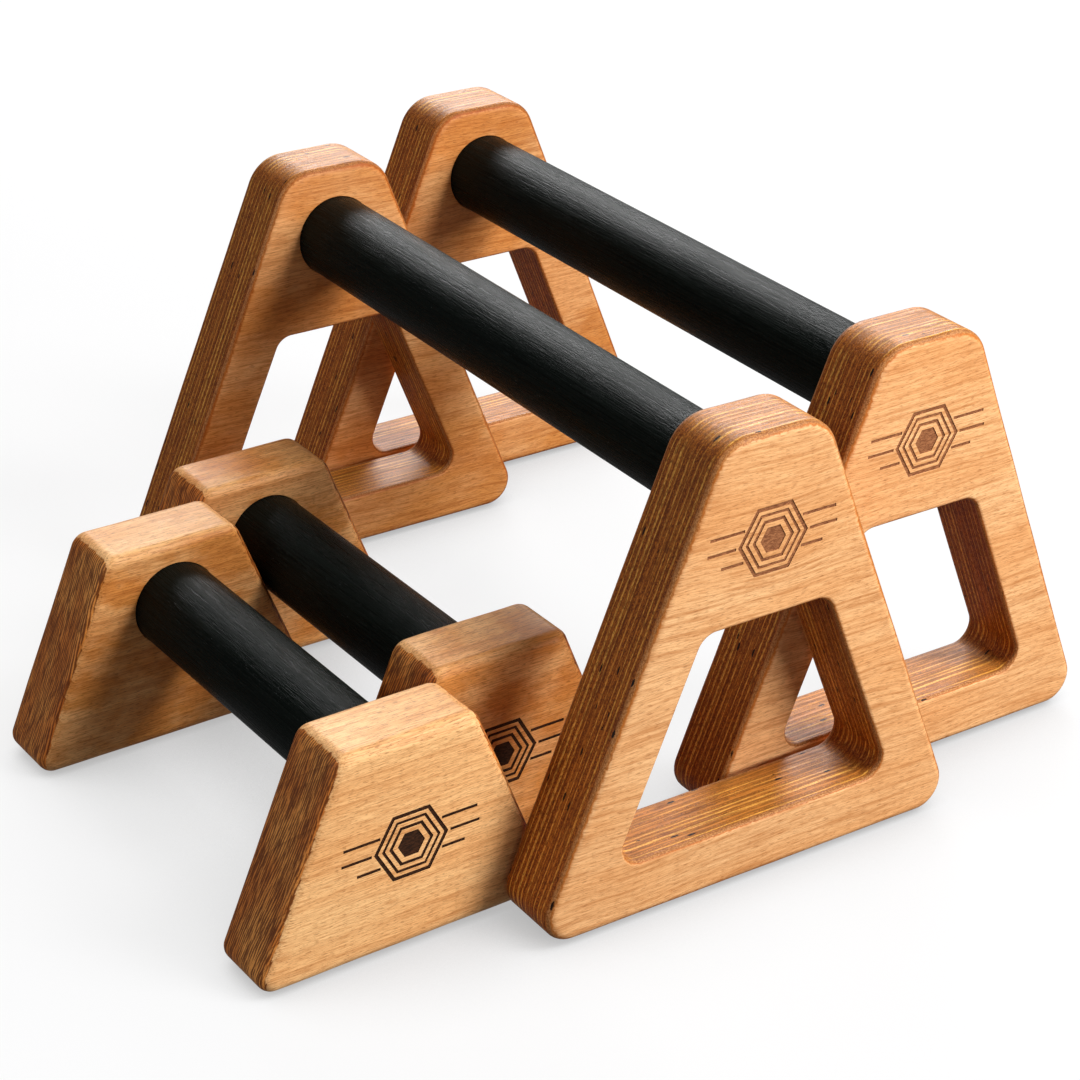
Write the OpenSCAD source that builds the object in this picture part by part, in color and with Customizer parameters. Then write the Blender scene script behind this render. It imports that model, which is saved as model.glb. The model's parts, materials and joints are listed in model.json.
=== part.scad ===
// Set of four floor parallettes: a tall pair with windowed plywood frames and a low pair with
// solid hardwood blocks. Each unit is a round bar seated in two end plates on rubber pads.
// Units stand nested, each one's end plates just behind those of its neighbour.
// The bars run along Y, +Z is up, and the origin is on the floor at the middle of the set.

/* [Tall pair] */
// Length of a tall unit over the outer faces of its frames
tall_length = 382; // [340:1:440]
// Height of a tall frame above its pads
tall_height = 207; // [197:1:240]
// Width of a tall frame at the foot, sides carried on to sharp corners
tall_foot_width = 220.5; // [208:0.5:240]
// Width of a tall frame at the top, sides carried on to sharp corners
tall_top_width = 51.5; // [46:0.5:70]
// Thickness of a tall frame
tall_thickness = 34; // [32:0.5:42]
// Radius of a tall frame's lower corners
tall_foot_radius = 13; // [4:0.5:16]
// Radius of a tall frame's upper corners
tall_top_radius = 18; // [4:0.5:20]
// Height of a tall bar's axis above the foot of its frame
tall_bar_height = 171.5; // [168:0.5:173]

/* [Windows in the tall frames] */
// Width of a window at its floor
window_floor_width = 143.5; // [120:0.5:150]
// Width of a window at its ceiling
window_ceiling_width = 63; // [50:1:66]
// Height of a window's floor above the foot of its frame
window_floor = 27; // [18:1:32]
// Height of a window's ceiling above the foot of its frame
window_ceiling = 124; // [110:1:126]
// Radius of a window's corners
window_radius = 9; // [3:0.5:12]

/* [Low pair] */
// Length of a low unit over the outer faces of its blocks
low_length = 228.5; // [215:0.5:260]
// Height of a low block above its pads
low_height = 98; // [94:0.5:102]
// Width of a low block at the foot, sides carried on to sharp corners
low_foot_width = 145.5; // [140:0.5:148]
// Width of a low block at the top, sides carried on to sharp corners
low_top_width = 65; // [58:0.5:66]
// Thickness of a low block
low_thickness = 34.5; // [32:0.5:42]
// Radius of a low block's lower corners
low_foot_radius = 7; // [2:0.5:8]
// Radius of a low block's upper corners
low_top_radius = 8; // [2:0.5:10]
// Height of a low bar's axis above the foot of its block
low_bar_height = 67.5; // [66:0.5:69]

/* [Bars] */
// Diameter of every bar
bar_diameter = 40; // [34:0.5:40]
// Depth of the blind seat that holds a bar's end
seat_depth = 24; // [18:0.5:28]
// Chamfer round a bar's ends
bar_chamfer = 1; // [0.5:0.5:2]

/* [Screws] */
// Diameter of a screw's shank
screw_diameter = 4.5; // [4:0.5:5]
// Diameter of a screw's head
screw_head_diameter = 9; // [8:0.5:10]
// Length of a screw in a tall frame
tall_screw_length = 42; // [36:1:50]
// Length of a screw in a low block
low_screw_length = 50; // [46:1:54]
// Depth of the counterbore under a screw in a low block
low_counterbore = 10; // [8:0.5:12]

/* [Pads] */
// Thickness of a rubber pad
pad_thickness = 2; // [1.5:0.5:4]
// Length of a pad under a tall frame
tall_pad_length = 62; // [40:1:80]
// Length of a pad under a low block
low_pad_length = 44; // [30:1:56]
// Distance from a pad to its plate's faces
pad_inset = 7.5; // [2:0.5:9]
// Distance from a pad to the end of its plate's foot
pad_end_inset = 9; // [4:0.5:14]

/* [Layout] */
// Distance from the tall left unit to the tall right one, across the bars
tall_spacing = 110.5; // [102:0.5:130]
// Gap between the nested frames of the tall pair
tall_gap = 3.8; // [1.6:0.1:6]
// Angle that the tall right unit is turned by
tall_turn = 0.44; // [0:0.02:0.5]
// Distance from the tall left unit to the low left one, across the bars
low_offset = 150.5; // [150:0.5:156]
// Distance between the low pair's bars
low_spacing = 67.4; // [67.2:0.2:70]
// Gap between nested plates where a low unit meets its neighbour
low_gap = 0.6; // [0.6:0.1:3]
// Angle that the low pair is turned by
low_turn = 1.4; // [0:0.1:1.6]

/* [Hidden] */
UNITS = ["tall_left", "tall_right", "low_left", "low_right"];
ENDS = ["front", "back"];
SIDES = ["left", "right"];

frame_wood = "#D6A069";
block_wood = "#DDB07A";
bar_stain = "#1A1E1E";
pad_rubber = "#141414";
screw_zinc = "#C4C6C8";

fit_gap = 0.05;
corner_steps = 8;
pad_corner = 4;
screw_tip = 5;
screw_point = 1;
recess_width = 1;
recess_depth = 2;

// Dimensions of a unit, by its name.
function is_tall(unit) = unit == "tall_left" || unit == "tall_right";
function length_of(unit) = is_tall(unit) ? tall_length : low_length;
function thickness_of(unit) = is_tall(unit) ? tall_thickness : low_thickness;
function bar_height_of(unit) = is_tall(unit) ? tall_bar_height : low_bar_height;
function foot_width_of(unit) = is_tall(unit) ? tall_foot_width : low_foot_width;
function pad_length_of(unit) = is_tall(unit) ? tall_pad_length : low_pad_length;
function screw_length_of(unit) = is_tall(unit) ? tall_screw_length : low_screw_length;
function screw_base_of(unit) = is_tall(unit) ? window_ceiling : low_counterbore;
function plate_word(unit) = is_tall(unit) ? "frame" : "block";

// Arc that rounds one corner of an anticlockwise convex outline.
function toward(from, to) = (to - from) / norm(to - from);
function corner_arc(before, corner, after, radius) =
    let (
        back = toward(corner, before),
        ahead = toward(corner, after),
        half_angle = acos(back * ahead) / 2,
        start = corner + back * radius / tan(half_angle),
        centre = corner + toward([0, 0], back + ahead) * radius / sin(half_angle),
        first = atan2(start.y - centre.y, start.x - centre.x),
        sweep = 180 - 2 * half_angle
    )
    [for (i = [0:corner_steps])
        centre + radius * [cos(first + sweep * i / corner_steps), sin(first + sweep * i / corner_steps)]];
function rounded(corners, radii) =
    let (count = len(corners))
    [for (i = [0:count - 1])
        each corner_arc(corners[(i + count - 1) % count], corners[i], corners[(i + 1) % count], radii[i])];

// Symmetric trapezoid with its own radii at the bottom and the top.
function trapezoid(bottom_width, top_width, bottom, top, bottom_radius, top_radius) =
    rounded(
        [[-bottom_width / 2, bottom], [bottom_width / 2, bottom], [top_width / 2, top], [-top_width / 2, top]],
        [bottom_radius, bottom_radius, top_radius, top_radius]
    );

tall_outline = trapezoid(tall_foot_width, tall_top_width, 0, tall_height, tall_foot_radius, tall_top_radius);
low_outline = trapezoid(low_foot_width, low_top_width, 0, low_height, low_foot_radius, low_top_radius);
window_outline = trapezoid(
    window_floor_width, window_ceiling_width, window_floor, window_ceiling, window_radius, window_radius
);

// Half the real width of a unit over its rounded feet, and how far a turned unit reaches.
function half_foot(unit) = max([for (point = is_tall(unit) ? tall_outline : low_outline) point.x]);
function turn_of(unit) = unit == "tall_left" ? 0 : is_tall(unit) ? tall_turn : low_turn;
function reach_across(unit) = half_foot(unit) * cos(turn_of(unit)) + length_of(unit) / 2 * sin(turn_of(unit));
function reach_along(unit) = length_of(unit) / 2 * cos(turn_of(unit)) + half_foot(unit) * sin(turn_of(unit));

// Positions measured from the middle of the tall left unit. The low left unit's front block
// stands behind the tall left unit's front frame, clear of it where the two overlap.
low_left_y = -tall_length / 2 + tall_thickness + low_gap + low_length / 2 / cos(low_turn)
    + (half_foot("tall_left") - low_offset) * tan(low_turn);
low_step = low_thickness + low_gap;
tall_right_y = tall_thickness + tall_gap;
positions = [
    [0, 0],
    [tall_spacing, tall_right_y],
    [-low_offset, low_left_y],
    [
        -low_offset + low_spacing * cos(low_turn) - low_step * sin(low_turn),
        low_left_y + low_spacing * sin(low_turn) + low_step * cos(low_turn)
    ]
];
middle = [
    (tall_spacing + reach_across("tall_right") - low_offset - reach_across("low_left")) / 2,
    (tall_right_y + reach_along("tall_right") - tall_length / 2) / 2
];
function position_of(unit) = positions[search([unit], UNITS)[0]] - middle;

// A unit's own frame: its middle on the floor plan, at the height of its wood's underside.
module place(unit) {
    translate([position_of(unit).x, position_of(unit).y, pad_thickness])
        rotate([0, 0, turn_of(unit)]) children();
}

// The back end is the front end mirrored.
module at_end(end) {
    mirror([0, end == "back" ? 1 : 0, 0]) children();
}

// Flat plate with the given outline, standing with its outer face at the unit's front end.
module standing_plate(unit, outline, extra = 0) {
    translate([0, thickness_of(unit) - length_of(unit) / 2 + extra, 0])
        rotate([90, 0, 0]) linear_extrude(thickness_of(unit) + 2 * extra) polygon(outline);
}

// Centre of a bar's seat in the front plate, where the screw also runs.
module at_seat(unit) {
    translate([0, thickness_of(unit) - length_of(unit) / 2 - seat_depth / 2, 0]) children();
}

// Blind seat for the bar's end, open on the plate's inner face.
module bar_seat(unit) {
    at_seat(unit) translate([0, -seat_depth / 2, bar_height_of(unit)])
        rotate([-90, 0, 0]) cylinder(h = seat_depth + 1, d = bar_diameter + 2 * fit_gap, $fn = 96);
}

// Body of a countersunk screw with its head at z = 0, grown by gap all round.
module screw_body(length, gap) {
    head_height = (screw_head_diameter - screw_diameter) / 2;
    cylinder(h = head_height, d1 = screw_head_diameter + 2 * gap, d2 = screw_diameter + 2 * gap, $fn = 32);
    cylinder(h = length - screw_tip, d = screw_diameter + 2 * gap, $fn = 32);
    translate([0, 0, length - screw_tip])
        cylinder(h = screw_tip, d1 = screw_diameter + 2 * gap, d2 = screw_point + 2 * gap, $fn = 32);
}

module screw_hole(unit) {
    at_seat(unit) translate([0, 0, screw_base_of(unit)]) screw_body(screw_length_of(unit), fit_gap);
}

// Plywood frame with a trapezoid window under the bar's seat.
module tall_frame(unit) {
    color(frame_wood) difference() {
        standing_plate(unit, tall_outline);
        standing_plate(unit, window_outline, 1);
        bar_seat(unit);
        screw_hole(unit);
    }
}

// Solid block with a counterbored screw hole in its underside.
module low_block(unit) {
    color(block_wood) difference() {
        standing_plate(unit, low_outline);
        bar_seat(unit);
        screw_hole(unit);
        at_seat(unit) translate([0, 0, -1])
            cylinder(h = low_counterbore + 1, d = screw_head_diameter + 2, $fn = 32);
    }
}

module end_plate(unit) {
    if (is_tall(unit)) tall_frame(unit);
    else low_block(unit);
}

// Round bar, its ends chamfered and drilled for the screws.
module bar(unit) {
    bar_length = length_of(unit) - 2 * (thickness_of(unit) - seat_depth) - 2 * fit_gap;
    radius = bar_diameter / 2;
    color(bar_stain) difference() {
        translate([0, -bar_length / 2, bar_height_of(unit)]) rotate([-90, 0, 0])
            rotate_extrude($fn = 96) polygon([
                [0, 0],
                [radius - bar_chamfer, 0],
                [radius, bar_chamfer],
                [radius, bar_length - bar_chamfer],
                [radius - bar_chamfer, bar_length],
                [0, bar_length]
            ]);
        for (end = ENDS) at_end(end) screw_hole(unit);
    }
}

// Countersunk wood screw with a cross recess.
module screw(unit) {
    recess_length = screw_head_diameter / 2;
    color(screw_zinc) at_seat(unit) translate([0, 0, screw_base_of(unit)]) difference() {
        screw_body(screw_length_of(unit), 0);
        for (angle = [0, 90]) rotate([0, 0, angle])
            translate([-recess_length / 2, -recess_width / 2, -1])
                cube([recess_length, recess_width, recess_depth + 1]);
    }
}

// Rubber pad under one foot of the front plate.
module pad(unit, side) {
    x = (side == "left" ? -1 : 1) * (half_foot(unit) - pad_end_inset - pad_length_of(unit) / 2);
    half_length = pad_length_of(unit) / 2;
    half_width = thickness_of(unit) / 2 - pad_inset;
    color(pad_rubber) translate([x, thickness_of(unit) / 2 - length_of(unit) / 2, -pad_thickness])
        linear_extrude(pad_thickness) polygon(trapezoid(
            2 * half_length, 2 * half_length, -half_width, half_width, pad_corner, pad_corner
        ));
}

for (unit = UNITS) {
    place(unit) bar(unit);
    for (end = ENDS) {
        place(unit) at_end(end) end_plate(unit);
        place(unit) at_end(end) screw(unit);
        for (side = SIDES)
            place(unit) at_end(end) pad(unit, side);
    }
}
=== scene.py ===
import json
import math

import bmesh
import bpy
from mathutils import Matrix, Quaternion, Vector, noise


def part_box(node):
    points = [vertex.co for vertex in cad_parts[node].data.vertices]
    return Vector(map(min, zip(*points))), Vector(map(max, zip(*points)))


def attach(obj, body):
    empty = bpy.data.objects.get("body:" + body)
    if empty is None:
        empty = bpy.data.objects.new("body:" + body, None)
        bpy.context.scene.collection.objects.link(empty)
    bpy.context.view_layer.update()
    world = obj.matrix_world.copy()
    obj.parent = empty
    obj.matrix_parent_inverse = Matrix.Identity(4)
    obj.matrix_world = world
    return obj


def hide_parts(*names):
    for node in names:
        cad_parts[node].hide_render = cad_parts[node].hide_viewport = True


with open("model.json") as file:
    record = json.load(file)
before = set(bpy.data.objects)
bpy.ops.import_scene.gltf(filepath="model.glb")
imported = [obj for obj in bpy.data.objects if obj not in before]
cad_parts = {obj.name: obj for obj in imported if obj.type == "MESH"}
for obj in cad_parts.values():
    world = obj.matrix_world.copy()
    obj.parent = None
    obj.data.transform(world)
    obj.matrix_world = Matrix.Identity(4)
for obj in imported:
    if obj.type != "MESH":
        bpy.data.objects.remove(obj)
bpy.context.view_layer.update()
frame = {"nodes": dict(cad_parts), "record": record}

MM = 0.001

# ---------------------------------------------------------------------------------------------
# Sizes, in metres, the same as the CAD model's
# ---------------------------------------------------------------------------------------------
PAD_THICKNESS = 2 * MM
BAR_RADIUS = 20 * MM
BAR_CHAMFER = 1 * MM
SEAT_DEPTH = 24 * MM
GLUE_GAP = 0.05 * MM
SCREW_RADIUS = 2.25 * MM
SCREW_HEAD_RADIUS = 4.5 * MM
SCREW_TIP = 5 * MM

TALL = {
    "word": "frame",
    "wood": "frame_plywood",
    "burnt": "frame_burnt",
    "length": 382 * MM,
    "thickness": 34 * MM,
    "bar_height": 171.5 * MM,
    "outline": {"widths": (220.5 * MM, 51.5 * MM), "heights": (0, 207 * MM), "radii": (13 * MM, 19 * MM)},
    "window": {"widths": (143.5 * MM, 63 * MM), "heights": (27 * MM, 124 * MM), "radii": (9 * MM, 9 * MM)},
    "edge_radii": (4 * MM, 2 * MM),
    "screw_base": 124 * MM,
    "screw_length": 42 * MM,
    "mark_height": 159.5 * MM,
}
LOW = {
    "word": "block",
    "wood": "block_hardwood",
    "burnt": "block_burnt",
    "length": 228.5 * MM,
    "thickness": 34.5 * MM,
    "bar_height": 67.5 * MM,
    "outline": {"widths": (145.5 * MM, 65 * MM), "heights": (0, 98 * MM), "radii": (7 * MM, 8 * MM)},
    "window": None,
    "edge_radii": (5 * MM,),
    "screw_base": 10 * MM,
    "screw_length": 50 * MM,
    "mark_height": 48.5 * MM,
}
# turn is in degrees, as in the CAD model, and the last value is how much the whole unit is darkened, from 0
# to 1: partly deeper stain, partly painted shade
UNITS = {
    "tall_left": {"kind": TALL, "turn": 0.0, "deep_stain_and_shade": 0.0},
    "tall_right": {"kind": TALL, "turn": 0.44, "deep_stain_and_shade": 0.0},
    "low_left": {"kind": LOW, "turn": 1.4, "deep_stain_and_shade": 0.0},
    # The low right unit is darkened all over: deeper stain, and painted shade for where the tall unit shades
    # its front
    "low_right": {"kind": LOW, "turn": 1.4, "deep_stain_and_shade": 1.0},
}
ENDS = {"front": 0.0, "back": 180.0}


# ---------------------------------------------------------------------------------------------
# Node graphs
# ---------------------------------------------------------------------------------------------
def srgb(red, green, blue):
    """Linear colour from 0-255 display values."""
    def linear(value):
        value /= 255
        return value / 12.92 if value <= 0.04045 else ((value + 0.055) / 1.055) ** 2.4
    return (linear(red), linear(green), linear(blue), 1.0)


class Graph:
    """A material's node tree, with short calls that return the socket to pass on."""

    def __init__(self, name, roughness, specular=0.5, metallic=0.0):
        self.material = bpy.data.materials.new(name)
        self.material.use_nodes = True
        self.nodes = self.material.node_tree.nodes
        self.links = self.material.node_tree.links
        self.shader = self.nodes["Principled BSDF"]
        self.shader.inputs["Roughness"].default_value = roughness
        self.shader.inputs["Specular IOR Level"].default_value = specular
        self.shader.inputs["Metallic"].default_value = metallic

    def feed(self, socket, value):
        if isinstance(value, bpy.types.NodeSocket):
            self.links.new(value, socket)
        else:
            socket.default_value = value

    def math(self, operation, first, second=0.0):
        node = self.nodes.new("ShaderNodeMath")
        node.operation = operation
        for socket, value in zip(node.inputs, (first, second)):
            self.feed(socket, value)
        return node.outputs[0]

    def centred(self, value, reach):
        """The value, from 0 to 1, spread evenly round zero over reach."""
        return self.math("MULTIPLY", self.math("SUBTRACT", value, 0.5), reach)

    def split(self, vector):
        node = self.nodes.new("ShaderNodeSeparateXYZ")
        self.feed(node.inputs[0], vector)
        return node.outputs

    def join(self, x, y, z):
        node = self.nodes.new("ShaderNodeCombineXYZ")
        for socket, value in zip(node.inputs, (x, y, z)):
            self.feed(socket, value)
        return node.outputs[0]

    def stretch(self, vector, scales, shift=0.0):
        """The vector times scales, with shift added to every part."""
        node = self.nodes.new("ShaderNodeVectorMath")
        node.operation = "MULTIPLY_ADD"
        self.feed(node.inputs[0], vector)
        self.feed(node.inputs[1], scales)
        self.feed(node.inputs[2], self.join(shift, shift, shift))
        return node.outputs[0]

    def noise(self, vector, scale=1.0, detail=2.0, roughness=0.5):
        node = self.nodes.new("ShaderNodeTexNoise")
        self.feed(node.inputs["Vector"], vector)
        for name, value in (("Scale", scale), ("Detail", detail), ("Roughness", roughness)):
            self.feed(node.inputs[name], value)
        return node.outputs["Fac"]

    def streaks(self, vector, scales, detail=2.0, roughness=0.5, shift=0.0):
        """Noise with features 1 / scales millimetres long on each axis."""
        return self.noise(self.stretch(vector, scales, shift), 1.0, detail, roughness)

    def product(self, first, second):
        return self.math("MULTIPLY", first, second)

    def total(self, first, *others):
        for other in others:
            first = self.math("ADD", first, other)
        return first

    def random(self, value):
        node = self.nodes.new("ShaderNodeTexWhiteNoise")
        node.noise_dimensions = "1D"
        self.feed(node.inputs["W"], value)
        return node.outputs["Value"]

    def cells(self, vector):
        """Distance to the nearest scattered point, and that point's random colour."""
        node = self.nodes.new("ShaderNodeTexVoronoi")
        self.feed(node.inputs["Vector"], vector)
        node.inputs["Scale"].default_value = 1.0
        return node.outputs["Distance"], node.outputs["Color"]

    def band(self, value, low, high, bottom=0.0, top=1.0):
        """Smooth step from bottom to top as value goes from low to high."""
        node = self.nodes.new("ShaderNodeMapRange")
        node.interpolation_type = "SMOOTHSTEP"
        for socket, number in zip(node.inputs, (value, low, high, bottom, top)):
            self.feed(socket, number)
        return node.outputs[0]

    def mix(self, factor, first, second, blend="MIX"):
        node = self.nodes.new("ShaderNodeMix")
        node.data_type = "RGBA"
        node.blend_type = blend
        self.feed(node.inputs[0], factor)
        self.feed(node.inputs[6], first)
        self.feed(node.inputs[7], second)
        return node.outputs[2]

    def blend(self, factor, first, second):
        node = self.nodes.new("ShaderNodeMix")
        self.feed(node.inputs[0], factor)
        self.feed(node.inputs[2], first)
        self.feed(node.inputs[3], second)
        return node.outputs[0]

    def grain(self):
        """Millimetres along the wood's own axes, stored on each piece's mesh."""
        node = self.nodes.new("ShaderNodeAttribute")
        node.attribute_name = "grain"
        return node.outputs["Vector"]

    def deep_stain_and_shade(self):
        """How much this unit's wood is darkened all over, from 0 to 1: partly deeper stain, partly painted
        shade.
        """
        node = self.nodes.new("ShaderNodeAttribute")
        node.attribute_name = "deep_stain_and_shade"
        return node.outputs["Fac"]

    def normal(self):
        return self.nodes.new("ShaderNodeTexCoord").outputs["Normal"]

    def place(self):
        return self.nodes.new("ShaderNodeTexCoord").outputs["Object"]

    def bump(self, height, distance):
        node = self.nodes.new("ShaderNodeBump")
        node.inputs["Distance"].default_value = distance
        self.feed(node.inputs["Height"], height)
        self.feed(self.shader.inputs["Normal"], node.outputs[0])

    def darken_with_painted_shade(self, colour, grain, inward, scales):
        """Painted shade, in patches, on the inner faces the bar comes out of, between the end plates; on some
        units, deeper stain and painted shade all over.
        """
        shade_patches = self.streaks(grain, scales, 4.0, 0.6, shift=3.0)
        where = self.math("MAXIMUM", self.band(inward, 0.2, 0.9), self.deep_stain_and_shade())
        amount = self.product(where, self.band(shade_patches, 0.36, 0.62, 0.25, 0.95))
        return self.mix(amount, colour, SHADE_AND_STAIN_TINT, "MULTIPLY")

    def finish(self, colour, roughness=None):
        self.feed(self.shader.inputs["Base Color"], colour)
        if roughness is not None:
            self.feed(self.shader.inputs["Roughness"], roughness)
        return self.material


# ---------------------------------------------------------------------------------------------
# Materials
# ---------------------------------------------------------------------------------------------
WOOD_SPECULAR = 0.18
STAIN_SPECULAR = 0.038
# Tint for painted shade on the inner faces between the end plates, and for deeper stain with painted shade on
# some whole units
SHADE_AND_STAIN_TINT = (0.76, 0.53, 0.27, 1.0)
PLIES = 23
PLY = TALL["thickness"] / MM / PLIES
PLY_SHIFT = 13.7
VENEER_LIGHT = srgb(246, 194, 138)
VENEER_DEEP = srgb(236, 172, 112)
VENEER_STREAK = srgb(190, 122, 66)
VENEER_FLECK = srgb(150, 88, 42)
PLY_GOLD = srgb(255, 196, 92)
PLY_AMBER = srgb(212, 132, 48)
PLY_BROWN = srgb(192, 108, 38)
PLY_DARK = srgb(108, 50, 15)
WORN_PLY = srgb(196, 136, 82)
WORN_PLY_DEEP = srgb(148, 90, 46)
KNOT = srgb(24, 13, 7)


def plywood(name="lacquered_plywood"):
    """Thin plies parallel to the faces, their grain in turn along the frame and up it."""
    g = Graph(name, 0.4, specular=WOOD_SPECULAR)
    grain = g.grain()
    x, y, z = g.split(grain)
    nx, ny, nz = g.split(g.normal())

    # The plies: wavy and uneven, clamped to the plate, each with its own shade and its own noise
    wander = g.streaks(grain, (0.02, 0.12, 0.02), 2.0, 0.5)
    ragged = g.streaks(grain, (0.5, 0.3, 0.5), 3.0, 0.6)
    uneven = g.streaks(grain, (0.0, 0.42, 0.0), 1.0, 0.5)
    wave = g.total(g.centred(wander, 1.3), g.centred(ragged, 0.55), g.centred(uneven, 2.6))
    depth = g.math("MINIMUM", g.math("MAXIMUM", g.total(y, wave), 0.02), PLIES * PLY - 0.02)
    layer = g.math("DIVIDE", depth, PLY)
    ply = g.math("FLOOR", layer)
    across = g.math("ABSOLUTE", g.math("SUBTRACT", g.math("SUBTRACT", layer, ply), 0.5))
    upright = g.math("MODULO", ply, 2.0)
    shade = g.random(ply)
    shift = g.product(ply, PLY_SHIFT)

    # How far each ply is cut across its grain: upright plies on level sides, the others on upright sides
    cut = g.blend(upright, g.math("ABSOLUTE", nx), g.math("ABSOLUTE", nz))
    end = g.band(cut, 0.35, 0.8)

    # The cut edge: golden early wood in each ply, dark glue lines, long stains, a worn outer ply, and painted
    # light making up-facing edges more golden
    fibre_x = g.streaks(grain, (0.03, 2.2, 2.2), 4.0, 0.65, shift=shift)
    fibre_z = g.streaks(grain, (2.2, 2.2, 0.03), 4.0, 0.65, shift=shift)
    fibre = g.blend(upright, fibre_x, fibre_z)
    patch = g.streaks(grain, (0.03, 0.5, 0.03), 3.0, 0.6, shift=shift)
    pores = g.streaks(grain, (1.1, 1.7, 1.1), 4.0, 0.75, shift=shift)
    gold = g.product(g.band(across, 0.1, 0.36, 1.0, 0.0), g.band(fibre, 0.4, 0.6, 0.55, 1.0))
    gold = g.product(gold, g.band(g.total(patch, g.centred(shade, 0.45)), 0.36, 0.62, 0.16, 1.0))
    gold = g.product(gold, g.band(pores, 0.42, 0.54, 0.3, 1.0))
    long_side = g.mix(gold, PLY_BROWN, PLY_GOLD)
    end_side = g.mix(g.band(pores, 0.42, 0.58), PLY_DARK, PLY_BROWN)
    end_side = g.mix(g.band(patch, 0.45, 0.7, 0.0, 0.45), end_side, PLY_AMBER)
    edge = g.mix(end, long_side, end_side)
    edge = g.mix(g.band(across, 0.38, 0.48, 0.0, 0.85), edge, PLY_DARK)
    stain = g.streaks(grain, (0.05, 0.22, 0.05), 3.0, 0.6)
    streak_x = g.streaks(grain, (0.045, 1.1, 1.1), 3.0, 0.7, shift=5.0)
    streak_z = g.streaks(grain, (1.1, 1.1, 0.045), 3.0, 0.7, shift=5.0)
    streak = g.blend(g.band(g.math("ABSOLUTE", nx), 0.4, 0.7), streak_x, streak_z)
    edge = g.mix(g.band(streak, 0.48, 0.62, 0.0, 0.68), edge, PLY_DARK)
    # Painted light: up-facing cut edges are made more golden, standing in for the top light and sheen on them
    edge = g.mix(g.band(nz, 0.7, 0.95, 0.0, 0.12), edge, PLY_GOLD)
    edge = g.mix(g.band(stain, 0.5, 0.75, 0.0, 0.5), edge, PLY_DARK)
    inset = g.math("MINIMUM", depth, g.math("SUBTRACT", PLIES * PLY, depth))
    worn = g.mix(g.band(pores, 0.42, 0.58), WORN_PLY_DEEP, WORN_PLY)
    edge = g.mix(g.band(g.total(inset, g.centred(ragged, 1.6)), 1.9, 3.1, 0.9, 0.0), edge, worn)

    # A few dark voids, longer than they are wide
    spots, spot_colour = g.cells(g.stretch(grain, (0.14, 0.5, 0.14)))
    rare = g.band(g.split(spot_colour)[0], 0.94, 0.945)
    void = g.product(rare, g.band(g.total(spots, g.centred(pores, 0.3)), 0.24, 0.33, 1.0, 0.0))
    edge = g.mix(void, edge, KNOT)

    # The face veneer: slow tone, curling figure, flecks and short dashes
    tone = g.streaks(grain, (0.006, 1.0, 0.035), 3.0, 0.55)
    curl = g.centred(g.streaks(grain, (0.01, 0.05, 0.02), 1.5), 12.0)
    curled = g.join(x, 3.0, g.total(z, curl))
    figure = g.streaks(curled, (0.02, 1.0, 0.5), 3.0, 0.6)
    fleck_noise = g.streaks(curled, (0.1, 1.0, 1.9), 3.0, 0.6)
    dash_noise = g.streaks(curled, (0.24, 1.0, 2.3), 2.0, 0.6, shift=31.0)
    veneer = g.mix(g.band(tone, 0.3, 0.7), VENEER_LIGHT, VENEER_DEEP)
    veneer = g.mix(g.band(figure, 0.42, 0.72, 0.0, 0.75), veneer, VENEER_STREAK)
    veneer = g.mix(g.band(fleck_noise, 0.44, 0.62, 0.0, 0.5), veneer, VENEER_STREAK)
    veneer = g.mix(g.band(dash_noise, 0.54, 0.66, 0.0, 0.55), veneer, VENEER_FLECK)

    # Where the round edge turns from veneer to cut edge, with a stained seam between them
    rim = g.total(g.math("ABSOLUTE", ny), g.centred(ragged, 0.35), g.centred(wander, 0.25))
    face = g.band(rim, 0.8, 0.87)
    seam = g.product(g.band(rim, 0.62, 0.8), g.band(rim, 0.8, 0.96, 1.0, 0.0))
    colour = g.mix(face, edge, veneer)
    colour = g.mix(g.product(seam, g.band(stain, 0.35, 0.6, 0.25, 0.85)), colour, PLY_BROWN)
    # Painted shade: patches darken the inner faces between the two end plates
    colour = g.darken_with_painted_shade(colour, grain, ny, (0.012, 0.02, 0.022))

    g.bump(g.total(fibre, g.product(fleck_noise, 0.6)), 0.14 * MM)
    sheen = g.total(g.band(fibre, 0.35, 0.65, 0.28, 0.46), g.band(streak, 0.35, 0.65, 0.0, 0.14))
    return g.finish(colour, sheen)


# In millimetres: the tree's heart is given by its depth and height from the block's lower outer edge, and
# the pale ring bands fade in between the two corner places, measured towards that edge
RING_CENTRE = (-62.0, -18.0)
RING_WIDTH = 4.2
RAY_GAP = 1.25
CORNER_BANDS = (-26.0, -12.0)
BLOCK_LIGHT = srgb(255, 204, 142)
BLOCK_DEEP = srgb(246, 184, 120)
BLOCK_STREAK = srgb(188, 118, 60)
BLOCK_FLECK = srgb(140, 80, 36)
BLOCK_END = srgb(250, 168, 86)
BLOCK_END_DEEP = srgb(218, 128, 56)
BLOCK_END_DARK = srgb(98, 46, 19)


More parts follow.
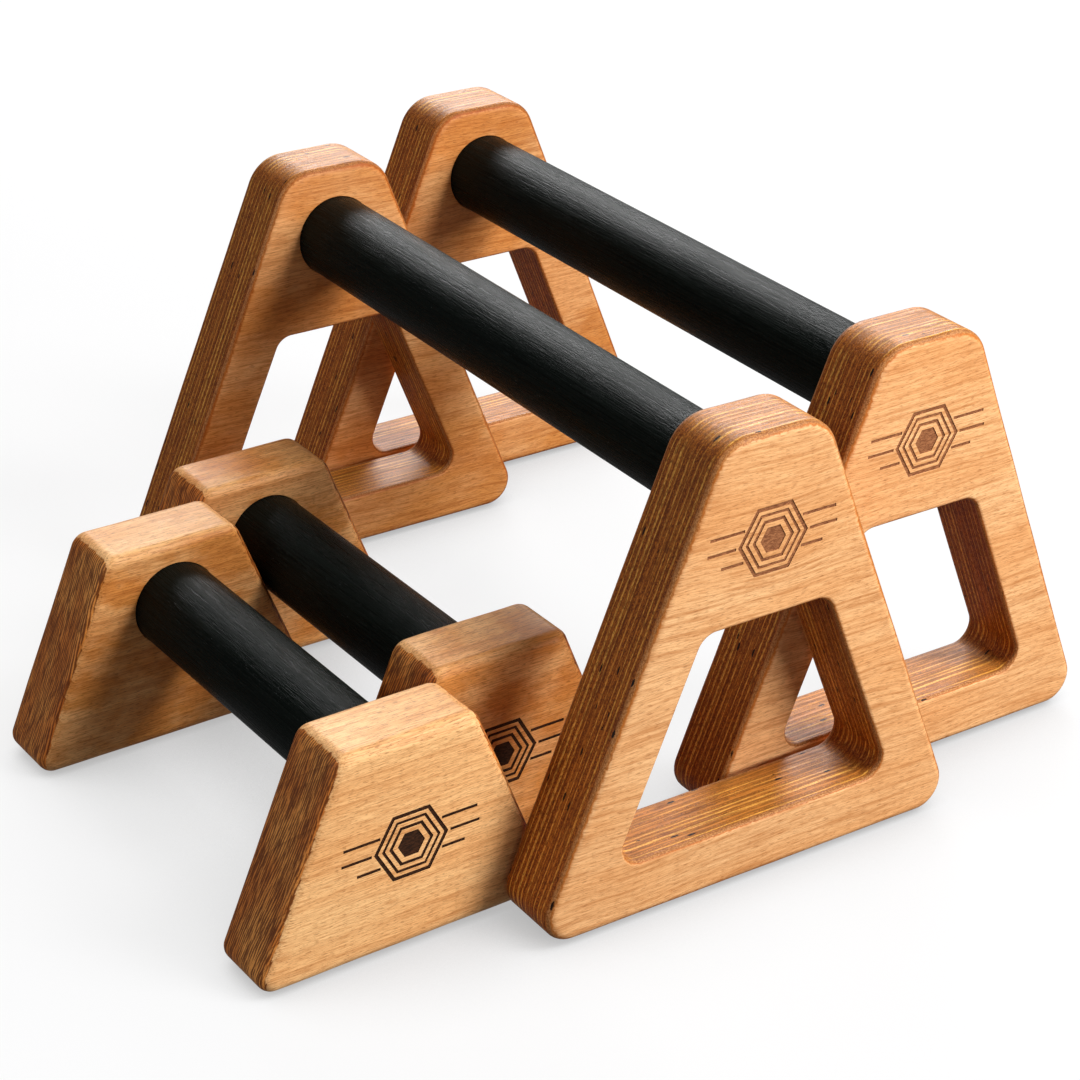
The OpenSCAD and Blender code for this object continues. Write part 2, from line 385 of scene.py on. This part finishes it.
def hardwood(name="lacquered_hardwood"):
    """Flat-sawn board with its grain along the block and growth rings curving through its ends."""
    g = Graph(name, 0.4, specular=WOOD_SPECULAR)
    grain = g.grain()
    x, y, z = g.split(grain)
    nx, ny, _ = g.split(g.normal())

    # Growth rings round a heart outside the board, darker towards the end of each year
    bend = g.centred(g.streaks(grain, (0.008, 0.04, 0.012), 2.0), 12.0)
    away = g.math("SUBTRACT", y, RING_CENTRE[0])
    above = g.math("SUBTRACT", z, RING_CENTRE[1])
    reach = g.math("SQRT", g.total(g.product(away, away), g.product(above, above)))
    layer = g.math("DIVIDE", g.total(reach, g.product(bend, 0.35)), RING_WIDTH)
    ring = g.math("POWER", g.math("FRACT", layer), 2.5)
    ring_shade = g.random(g.math("FLOOR", layer))

    # Where the surface is end grain, with a slightly ragged border
    speckle = g.streaks(grain, (0.12, 1.3, 1.9), 3.0, 0.7)
    broad = g.streaks(grain, (0.02, 0.2, 0.14), 2.0, 0.5)
    mixed = g.total(g.centred(speckle, 0.14), g.centred(broad, 0.2), g.centred(ring, 0.08))
    end = g.band(g.total(g.math("ABSOLUTE", nx), mixed), 0.5, 0.58)

    # Long grain: slow tone and rings, fibres, flecks and short dashes
    fibre = g.streaks(grain, (0.035, 2.0, 2.0), 4.0, 0.65)
    fleck_noise = g.streaks(grain, (0.1, 1.4, 1.9), 3.0, 0.6)
    dash_noise = g.streaks(grain, (0.3, 2.0, 2.4), 2.0, 0.6, shift=31.0)
    tone = g.streaks(grain, (0.008, 0.06, 0.05), 3.0, 0.55)
    long_side = g.mix(g.band(tone, 0.3, 0.7), BLOCK_LIGHT, BLOCK_DEEP)
    long_side = g.mix(g.product(ring, g.band(tone, 0.35, 0.7, 0.2, 0.55)), long_side, BLOCK_STREAK)
    long_side = g.mix(g.band(fibre, 0.48, 0.7, 0.0, 0.45), long_side, BLOCK_STREAK)
    long_side = g.mix(g.band(fleck_noise, 0.44, 0.62, 0.0, 0.5), long_side, BLOCK_STREAK)
    long_side = g.mix(g.band(dash_noise, 0.54, 0.66, 0.0, 0.55), long_side, BLOCK_FLECK)

    # End grain: dark rays at even gaps, pores, and pale ring bands near the lower outer corner
    rays = g.streaks(g.join(x, g.total(y, bend), z), (0.2, 1.5, 0.06), 3.0, 0.65)
    lean = g.total(y, g.product(bend, 0.5), g.product(z, 0.1))
    line = g.math("ABSOLUTE", g.centred(g.math("FRACT", g.math("DIVIDE", lean, RAY_GAP)), 2.0))
    rays = g.total(rays, g.centred(line, 0.2))
    pores = g.streaks(grain, (1.0, 1.9, 1.6), 3.0, 0.7)
    sapwood = g.streaks(grain, (0.01, 0.05, 0.03), 2.0, 0.5, shift=9.0)
    end_side = g.mix(g.band(sapwood, 0.42, 0.66), BLOCK_END_DEEP, BLOCK_END)
    end_side = g.mix(g.product(ring, g.band(ring_shade, 0.0, 1.0, 0.1, 0.5)), end_side, BLOCK_END_DARK)
    corner = g.math("SUBTRACT", g.product(y, -1.0), g.product(z, 0.45))
    corner = g.total(corner, g.centred(sapwood, 30.0))
    glint = g.product(g.band(ring, 0.12, 0.5), g.band(ring, 0.5, 0.9, 1.0, 0.0))
    glint = g.product(glint, g.band(corner, *CORNER_BANDS))
    end_side = g.mix(g.product(glint, 0.7), end_side, BLOCK_END)
    end_side = g.mix(g.band(rays, 0.42, 0.54, 0.0, 0.86), end_side, BLOCK_END_DARK)
    end_side = g.mix(g.band(pores, 0.54, 0.66, 0.0, 0.35), end_side, BLOCK_END_DARK)

    # Painted shade: patches darken the inner faces between the two end blocks, and the low right unit all
    # over, partly as deeper stain
    colour = g.darken_with_painted_shade(g.mix(end, long_side, end_side), grain, ny, (0.03, 0.05, 0.05))
    g.bump(g.total(fibre, g.product(fleck_noise, 0.6)), 0.14 * MM)
    return g.finish(colour, g.band(fibre, 0.3, 0.7, 0.34, 0.5))


def burnt_wood(name, light, dark):
    """Charred floor and walls of the engraved mark."""
    g = Graph(name, 0.75, specular=0.1)
    char = g.streaks(g.grain(), (0.6, 1.5, 2.5), 3.0, 0.7)
    g.bump(char, 0.1 * MM)
    return g.finish(g.mix(g.band(char, 0.35, 0.7), dark, light))


def stained_wood(name="black_stained_wood"):
    """Black stain over a turned dowel, with the grain still showing in the sheen."""
    g = Graph(name, 0.42, specular=STAIN_SPECULAR)
    grain = g.grain()
    fibre = g.streaks(grain, (1.2, 0.02, 1.2), 5.0, 0.7)
    pores = g.streaks(grain, (2.6, 0.12, 2.6), 3.0, 0.7)
    patch = g.streaks(grain, (0.05, 0.012, 0.05), 2.0)
    colour = g.mix(g.band(fibre, 0.3, 0.7), srgb(6, 10, 8), srgb(17, 23, 20))
    colour = g.mix(g.band(pores, 0.58, 0.72, 0.0, 0.55), colour, srgb(46, 52, 50))
    dust_gap, dust_colour = g.cells(g.stretch(grain, (0.5, 0.35, 0.5)))
    dust = g.product(g.band(g.split(dust_colour)[0], 0.93, 0.95), g.band(dust_gap, 0.05, 0.12, 1.0, 0.0))
    colour = g.mix(g.product(dust, 0.4), colour, srgb(120, 126, 126))
    g.bump(g.total(fibre, g.product(pores, 0.7)), 0.32 * MM)
    rough = g.total(g.band(fibre, 0.38, 0.62, 0.18, 0.4), g.band(patch, 0.3, 0.7, 0.0, 0.06))
    return g.finish(colour, rough)


def rubber(name="black_rubber"):
    """Matt rubber with a fine pebble."""
    g = Graph(name, 0.85, specular=0.1)
    pebble = g.noise(g.place(), 2200.0, 2.0, 0.6)
    g.bump(pebble, 0.15 * MM)
    return g.finish(g.mix(g.band(pebble, 0.35, 0.65), srgb(22, 22, 23), srgb(40, 40, 41)))


def zinc(name="zinc_plate"):
    """Bright zinc with light and dark patches."""
    g = Graph(name, 0.32, metallic=1.0)
    patch = g.noise(g.place(), 900.0, 3.0, 0.6)
    colour = g.mix(g.band(patch, 0.35, 0.65), srgb(176, 178, 182), srgb(208, 209, 212))
    return g.finish(colour, g.band(patch, 0.3, 0.7, 0.26, 0.42))


MATERIALS = {
    "frame_plywood": plywood(),
    "block_hardwood": hardwood(),
    "frame_burnt": burnt_wood("burnt_mark_on_frame", srgb(172, 114, 74), srgb(116, 68, 42)),
    "block_burnt": burnt_wood("burnt_mark_on_block", srgb(74, 44, 26), srgb(34, 20, 12)),
    "bar_stained": stained_wood(),
    "pad_rubber": rubber(),
    "screw_zinc": zinc(),
}


# ---------------------------------------------------------------------------------------------
# Outlines: lists of (point, outward normal), anticlockwise, x across and z up
# ---------------------------------------------------------------------------------------------
CORNER_STEPS = 12
SIDE_STEPS = 16


def trapezoid(widths, heights, radii):
    """Rounded trapezoid given by its widths, heights and radii at the bottom and the top."""
    corners = [
        Vector((-widths[0] / 2, heights[0])),
        Vector((widths[0] / 2, heights[0])),
        Vector((widths[1] / 2, heights[1])),
        Vector((-widths[1] / 2, heights[1])),
    ]
    corner_radii = [radii[0], radii[0], radii[1], radii[1]]
    arcs = []
    for i, corner in enumerate(corners):
        back = (corners[i - 1] - corner).normalized()
        ahead = (corners[(i + 1) % 4] - corner).normalized()
        half = back.angle(ahead) / 2
        radius = corner_radii[i]
        centre = corner + (back + ahead).normalized() * radius / math.sin(half)
        start = corner + back * radius / math.tan(half) - centre
        first = math.atan2(start.y, start.x)
        sweep = math.pi - 2 * half
        angles = [first + sweep * k / CORNER_STEPS for k in range(CORNER_STEPS + 1)]
        directions = [Vector((math.cos(a), math.sin(a))) for a in angles]
        arcs.append([(centre + d * radius, d) for d in directions])
    outline = []
    for i, arc in enumerate(arcs):
        outline += arc
        here, normal = arc[-1]
        there = arcs[(i + 1) % 4][0][0]
        outline += [(here.lerp(there, k / SIDE_STEPS), normal) for k in range(1, SIDE_STEPS)]
    return outline


def hole_in(outline):
    """The same outline as the edge of a hole, its normals pointing into the hole."""
    return [(point, -normal) for point, normal in outline]


# ---------------------------------------------------------------------------------------------
# The engraved mark: nested hexagons between two stacks of stripes
# ---------------------------------------------------------------------------------------------
MARK_DEPTH = 0.35 * MM
HEXAGONS = ((17.5 * MM, 15.6 * MM), (13.8 * MM, 12.4 * MM), (10.4 * MM, 8.8 * MM))
MARK_CORE = 6.4 * MM
STRIPES = ((17 * MM, 7 * MM), (14 * MM, 0.0), (11 * MM, -7 * MM))
STRIPE_WIDTH = 1.3 * MM
STRIPE_START = 18.5 * MM


def hexagon(radius):
    return [
        (radius * math.cos(math.radians(60 * k)), radius * math.sin(math.radians(60 * k)))
        for k in range(6)
    ]


def stripe(side, length, height):
    near = STRIPE_START - abs(height) * math.tan(math.radians(30))
    left, right = sorted((side * near, side * (near + length)))
    low = height - STRIPE_WIDTH / 2
    high = height + STRIPE_WIDTH / 2
    return [(left, low), (right, low), (right, high), (left, high)]


def mark_shapes():
    """Each engraved shape as (outer loop, inner loop or None)."""
    shapes = [(hexagon(outer), hexagon(inner)) for outer, inner in HEXAGONS]
    shapes.append((hexagon(MARK_CORE), None))
    for side in (-1, 1):
        shapes += [(stripe(side, length, height), None) for length, height in STRIPES]
    return shapes


# ---------------------------------------------------------------------------------------------
# Meshes
# ---------------------------------------------------------------------------------------------
EDGE_STEPS = 6
SANDING = 0.14  # how unevenly the edges are sanded, as a share of their radius
SANDING_WAVES = 28  # per metre
SHARP_ANGLE = math.radians(35)
SEAT_EASE = 0.3 * MM
COUNTERBORE_MARGIN = 1 * MM
SCREW_POINT_RADIUS = 0.55 * MM
SCREW_SEGMENTS = 48
SEAT_SEGMENTS = 96
BAR_SEGMENTS = 128
BAR_RINGS = 24
SLIVER = 0.004 * MM
PLATE_GRAIN_STEP = (61.0, 37.0)  # millimetres along and up the wood, from one plate's place in it to the next
BAR_GRAIN_STEP = 211.0
OUTLINE_SEED_STEP = 7
UP_TO_INWARD = Matrix.Rotation(math.radians(-90), 4, "X")


def add_loop(bm, points, y):
    """A closed loop of vertices and edges at depth y."""
    verts = [bm.verts.new((x, y, z)) for x, z in points]
    edges = [bm.edges.new((verts[i - 1], verts[i])) for i in range(len(verts))]
    return verts, edges


def bridge(bm, first, second):
    for i in range(len(first)):
        bm.faces.new((first[i - 1], first[i], second[i], second[i - 1]))


def fill(bm, edges, slot=0):
    made = bmesh.ops.triangle_fill(bm, edges=edges, use_beauty=True, use_dissolve=False)["geom"]
    for item in made:
        if isinstance(item, bmesh.types.BMFace):
            item.material_index = slot


def sweep_edge(bm, outline, thickness, radius, seed):
    """The wall along an outline with both its edges rounded over; returns the two end loops."""
    loops = []
    for side in (-1, 1):
        steps = range(EDGE_STEPS + 1) if side < 0 else range(EDGE_STEPS, -1, -1)
        for step in steps:
            angle = math.pi / 2 * step / EDGE_STEPS
            points = []
            for point, normal in outline:
                drift = noise.noise(Vector((point.x * SANDING_WAVES, point.y * SANDING_WAVES, seed + side)))
                worn = radius * (1 + SANDING * drift)
                inset = worn * (1 - math.sin(angle))
                depth = worn * (1 - math.cos(angle))
                place = point - normal * inset
                points.append((place.x, side * (thickness / 2 - depth), place.y))
            loops.append([bm.verts.new(p) for p in points])
    for first, second in zip(loops, loops[1:]):
        bridge(bm, first, second)
    ends = []
    for loop in (loops[0], loops[-1]):
        ends.append([bm.edges.get((loop[i - 1], loop[i])) for i in range(len(loop))])
    return ends


def engrave(bm, centre_height, y):
    """Cuts the mark's walls and floor; returns the edges that bound the face and each island in it."""
    face_edges = []
    islands = []
    for outer, inner in mark_shapes():
        floors = []
        rims = []
        for points in filter(None, (outer, inner)):
            placed = [(px, centre_height + pz) for px, pz in points]
            top, top_edges = add_loop(bm, placed, y)
            floor, floor_edges = add_loop(bm, placed, y + MARK_DEPTH)
            before = set(bm.faces)
            bridge(bm, top, floor)
            for face in set(bm.faces) - before:
                face.material_index = 1
            floors += floor_edges
            rims.append(top_edges)
        fill(bm, floors, 1)
        islands.append(rims)
    rings = islands[:len(HEXAGONS)]
    face_edges += rings[0][0]
    for outer_ring, inner_ring in zip(rings, rings[1:]):
        fill(bm, outer_ring[1] + inner_ring[0])
    fill(bm, rings[-1][1] + islands[len(HEXAGONS)][0])
    for stripe_rims in islands[len(HEXAGONS) + 1:]:
        face_edges += stripe_rims[0]
    return face_edges


def lathe(profile, segments):
    """Mesh turned about Z from (radius, height) points, closed where the radius is zero."""
    bm = bmesh.new()
    loops = []
    for radius, height in profile:
        if radius == 0:
            loops.append([bm.verts.new((0, 0, height))])
            continue
        angles = [2 * math.pi * k / segments for k in range(segments)]
        loops.append([bm.verts.new((radius * math.cos(a), radius * math.sin(a), height)) for a in angles])
    for first, second in zip(loops, loops[1:]):
        for k in range(segments):
            corners = (first[(k - 1) % len(first)], first[k % len(first)],
                       second[k % len(second)], second[(k - 1) % len(second)])
            bm.faces.new(list(dict.fromkeys(corners)))
    bmesh.ops.recalc_face_normals(bm, faces=bm.faces)
    mesh = bpy.data.meshes.new("lathe")
    bm.to_mesh(mesh)
    bm.free()
    return mesh


def screw_cutter(kind):
    """The countersunk hole, with a counterbore below it where the screw sits deep in a block."""
    head = SCREW_HEAD_RADIUS + GLUE_GAP
    shank = SCREW_RADIUS + GLUE_GAP
    wide = SCREW_HEAD_RADIUS + COUNTERBORE_MARGIN
    base = kind["screw_base"]
    top = base + kind["screw_length"]
    seat = base + SCREW_HEAD_RADIUS - SCREW_RADIUS
    start = [(0, -MM), (wide, -MM), (wide, base)] if kind is LOW else [(0, base - MM), (head, base - MM)]
    hole = [(head, base), (shank, seat), (shank, top - SCREW_TIP), (SCREW_POINT_RADIUS, top), (0, top)]
    return lathe(start + hole, SCREW_SEGMENTS)


def seat_cutter():
    """The bar's blind seat, with its mouth very slightly eased."""
    radius = BAR_RADIUS + GLUE_GAP
    mouth = radius + SEAT_EASE
    wall = [(0, 0), (radius, 0), (radius, SEAT_DEPTH - SEAT_EASE)]
    opening = [(mouth, SEAT_DEPTH), (mouth, SEAT_DEPTH + MM), (0, SEAT_DEPTH + MM)]
    return lathe(wall + opening, SEAT_SEGMENTS)


def cut(target, cutter_mesh, matrix):
    """Takes the cutter's volume out of the target's mesh, and closes the slivers that the cut leaves."""
    cutter = bpy.data.objects.new("cutter", cutter_mesh)
    bpy.context.scene.collection.objects.link(cutter)
    cutter.matrix_world = target.matrix_world @ matrix
    modifier = target.modifiers.new("cut", "BOOLEAN")
    modifier.object = cutter
    modifier.solver = "EXACT"
    bpy.context.view_layer.update()
    evaluated = target.evaluated_get(bpy.context.evaluated_depsgraph_get())
    mesh = bpy.data.meshes.new_from_object(evaluated)
    bm = bmesh.new()
    bm.from_mesh(mesh)
    bmesh.ops.remove_doubles(bm, verts=bm.verts, dist=SLIVER)
    bmesh.ops.dissolve_degenerate(bm, edges=bm.edges, dist=SLIVER)
    bm.to_mesh(mesh)
    bm.free()
    target.modifiers.clear()
    target.data = mesh
    bpy.data.objects.remove(cutter)


def smooth(piece):
    """Smooth shading that keeps the flats flat and the cut edges crisp."""
    piece.data.shade_smooth()
    piece.data.set_sharp_from_angle(angle=SHARP_ANGLE)
    modifier = piece.modifiers.new("flats", "WEIGHTED_NORMAL")
    modifier.keep_sharp = True


def store_grain(piece, shift):
    """Each vertex's place in the wood, in millimetres, on the piece's own axes."""
    attribute = piece.data.attributes.new("grain", "FLOAT_VECTOR", "POINT")
    for vertex, value in zip(piece.data.vertices, attribute.data):
        value.vector = vertex.co / MM + shift


def store_deep_stain_and_shade(piece, deep_stain_and_shade):
    """How much the whole piece is darkened, from 0 to 1: partly deeper stain than usual, partly painted
    shade.
    """
    attribute = piece.data.attributes.new("deep_stain_and_shade", "FLOAT", "POINT")
    for value in attribute.data:
        value.value = deep_stain_and_shade


def new_piece(name, mesh, materials):
    piece = bpy.data.objects.new(name, mesh)
    bpy.context.scene.collection.objects.link(piece)
    for material in materials:
        mesh.materials.append(material)
    return piece


def build_plate(name, kind, placement, deep_stain_and_shade, seed):
    """An end plate: rounded over all round, with its window, mark, seat and screw hole."""
    thickness = kind["thickness"]
    bm = bmesh.new()
    outlines = [trapezoid(**kind["outline"])]
    if kind["window"]:
        outlines.append(hole_in(trapezoid(**kind["window"])))
    outer_face = []
    inner_face = []
    for k, outline in enumerate(outlines):
        ends = sweep_edge(bm, outline, thickness, kind["edge_radii"][k], seed + OUTLINE_SEED_STEP * k)
        outer_face += ends[0]
        inner_face += ends[1]
    outer_face += engrave(bm, kind["mark_height"], -thickness / 2)
    fill(bm, outer_face)
    fill(bm, inner_face)
    bmesh.ops.recalc_face_normals(bm, faces=bm.faces)
    mesh = bpy.data.meshes.new(name)
    bm.to_mesh(mesh)
    bm.free()
    piece = new_piece(name, mesh, [MATERIALS[kind["wood"]], MATERIALS[kind["burnt"]]])
    piece.matrix_world = placement
    seat_bottom = Matrix.Translation((0, thickness / 2 - SEAT_DEPTH, kind["bar_height"]))
    cut(piece, seat_cutter(), seat_bottom @ UP_TO_INWARD)
    cut(piece, screw_cutter(kind), Matrix.Translation((0, thickness / 2 - SEAT_DEPTH / 2, 0)))
    along, up = (step * seed for step in PLATE_GRAIN_STEP)
    store_grain(piece, Vector((along, thickness / 2 / MM, up if kind is TALL else 0.0)))
    store_deep_stain_and_shade(piece, deep_stain_and_shade)
    smooth(piece)
    return piece


def build_bar(name, kind, placement, seed):
    """A turned bar with chamfered ends, drilled for its screws."""
    seat_start = kind["length"] / 2 - kind["thickness"] + SEAT_DEPTH
    half = seat_start - GLUE_GAP
    places = [half * (2 * k / BAR_RINGS - 1) for k in range(BAR_RINGS + 1)]
    places[0] += BAR_CHAMFER
    places[-1] -= BAR_CHAMFER
    tip = BAR_RADIUS - BAR_CHAMFER
    profile = [(0, -half), (tip, -half), *((BAR_RADIUS, place) for place in places), (tip, half), (0, half)]
    piece = new_piece(name, lathe(profile, BAR_SEGMENTS), [MATERIALS["bar_stained"]])
    piece.data.transform(UP_TO_INWARD)
    piece.matrix_world = placement @ Matrix.Translation((0, 0, kind["bar_height"]))
    for side in (-1, 1):
        screw_y = side * (seat_start - SEAT_DEPTH / 2)
        cut(piece, screw_cutter(kind), Matrix.Translation((0, screw_y, -kind["bar_height"])))
    store_grain(piece, Vector((0.0, BAR_GRAIN_STEP * seed, 0.0)))
    smooth(piece)
    return piece


def middle_of(node):
    low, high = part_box(node)
    return (low + high) / 2


def build_unit(unit, kind, turn, deep_stain_and_shade, seed):
    """The bar and the two end plates of one unit, riding on the unit's body."""
    middle = middle_of(f"{unit}_bar")
    floor_place = Matrix.Translation((middle.x, middle.y, PAD_THICKNESS))
    unit_place = floor_place @ Matrix.Rotation(math.radians(turn), 4, "Z")
    bar_piece = build_bar(f"{unit}_stained_bar", kind, unit_place, seed)
    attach(bar_piece, unit)
    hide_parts(f"{unit}_bar")
    offset = kind["length"] / 2 - kind["thickness"] / 2
    for k, (end, half_turn) in enumerate(ENDS.items()):
        at_end = Matrix.Rotation(math.radians(half_turn), 4, "Z") @ Matrix.Translation((0, -offset, 0))
        node = f"{unit}_{end}_{kind['word']}"
        name = f"{unit}_{end}_wood_{kind['word']}"
        plate = build_plate(name, kind, unit_place @ at_end, deep_stain_and_shade, 2 * seed + k)
        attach(plate, unit)
        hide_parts(node)


for number, (unit_name, spec) in enumerate(UNITS.items()):
    build_unit(unit_name, spec["kind"], spec["turn"], spec["deep_stain_and_shade"], number + 1)

# Every CAD solid gets its slot's material; the pads and screws are the ones that no finer mesh replaces
for entry in frame["record"]["subparts"]:
    slot_name = entry["material_slot"]
    node_object = frame["nodes"][entry["node"]]
    node_object.data.materials.clear()
    node_object.data.materials.append(MATERIALS[slot_name])


# ---------------------------------------------------------------------------------------------
# Floor, light and camera
# ---------------------------------------------------------------------------------------------
FLOOR_SIZE = 12.0
FLOOR_COLOUR = (0.13, 0.13, 0.132, 1.0)
LIGHTS = {
    "key": {"place": (0.78, -0.93, 1.4), "aim": (0.0, 0.0, 0.08), "size": (0.62, 0.62), "radiance": 23.0},
    "front": {"place": (0.75, -1.75, 0.6), "aim": (0.0, 0.0, 0.1), "size": (0.8, 0.5), "radiance": 19.0},
    "left": {"place": (-2.2, 0.2, 1.1), "aim": (0.0, 0.0, 0.1), "size": (1.5, 1.2), "radiance": 2.2},
    "back": {"place": (1.25, 1.86, 1.2), "aim": (0.0, 0.0, 0.1), "size": (1.6, 0.7), "radiance": 16.0},
}
WORLD_LIGHT = 0.15
FLOOR_GLOW = 0.83
SHADOW_GLOW = 0.55 * FLOOR_GLOW
SHADOW_REACH = 0.09
CAMERA = {
    "place": (-0.6284, -0.9801, 0.6741),
    "azimuth": -33.80,
    "elevation": 26.28,
    "roll": 1.055,
    "lens": 93.69,
    "shift": (0.00875, -0.05404),
}


def make_floor():
    """Pale floor that glows evenly, with a painted shadow that dims the glow near the object, hidden from
    bounced and mirrored rays.
    """
    bm = bmesh.new()
    bmesh.ops.create_grid(bm, x_segments=1, y_segments=1, size=FLOOR_SIZE / 2)
    mesh = bpy.data.meshes.new("floor")
    bm.to_mesh(mesh)
    bm.free()
    g = Graph("pale_floor", 1.0, specular=0.0)
    g.shader.inputs["Emission Color"].default_value = (1.0, 1.0, 1.0, 1.0)
    openness = g.nodes.new("ShaderNodeAmbientOcclusion")
    openness.inputs["Distance"].default_value = SHADOW_REACH
    openness.samples = 8
    # Painted contact shadow: the glow dims where the object is near
    glow = g.band(openness.outputs["AO"], 0.1, 0.9, SHADOW_GLOW, FLOOR_GLOW)
    g.feed(g.shader.inputs["Emission Strength"], glow)
    floor = new_piece("floor", mesh, [g.finish(FLOOR_COLOUR)])
    floor.visible_diffuse = False
    floor.visible_glossy = False


def aim(thing, target):
    thing.rotation_mode = "QUATERNION"
    thing.rotation_quaternion = (Vector(target) - thing.location).to_track_quat("-Z", "Y")


def make_lights():
    for name, spec in LIGHTS.items():
        data = bpy.data.lights.new(name, "AREA")
        data.shape = "RECTANGLE"
        data.size, data.size_y = spec["size"]
        data.energy = spec["radiance"] * math.pi * data.size * data.size_y
        lamp = bpy.data.objects.new(name, data)
        lamp.location = spec["place"]
        aim(lamp, spec["aim"])
        bpy.context.scene.collection.objects.link(lamp)
    world = bpy.data.worlds.new("studio")
    world.use_nodes = True
    background = world.node_tree.nodes["Background"]
    background.inputs["Color"].default_value = (1.0, 1.0, 1.0, 1.0)
    background.inputs["Strength"].default_value = WORLD_LIGHT
    bpy.context.scene.world = world
    bpy.context.scene.view_settings.view_transform = "Standard"


def make_camera():
    azimuth = math.radians(CAMERA["azimuth"])
    elevation = math.radians(CAMERA["elevation"])
    back = Vector((
        math.sin(azimuth) * math.cos(elevation),
        -math.cos(azimuth) * math.cos(elevation),
        math.sin(elevation),
    ))
    data = bpy.data.cameras.new("camera")
    data.lens = CAMERA["lens"]
    data.shift_x, data.shift_y = CAMERA["shift"]
    camera = bpy.data.objects.new("camera", data)
    camera.location = CAMERA["place"]
    camera.rotation_mode = "QUATERNION"
    level = (-back).to_track_quat("-Z", "Y")
    camera.rotation_quaternion = Quaternion(back, math.radians(CAMERA["roll"])) @ level
    bpy.context.scene.collection.objects.link(camera)
    bpy.context.scene.camera = camera


make_floor()
make_lights()
make_camera()
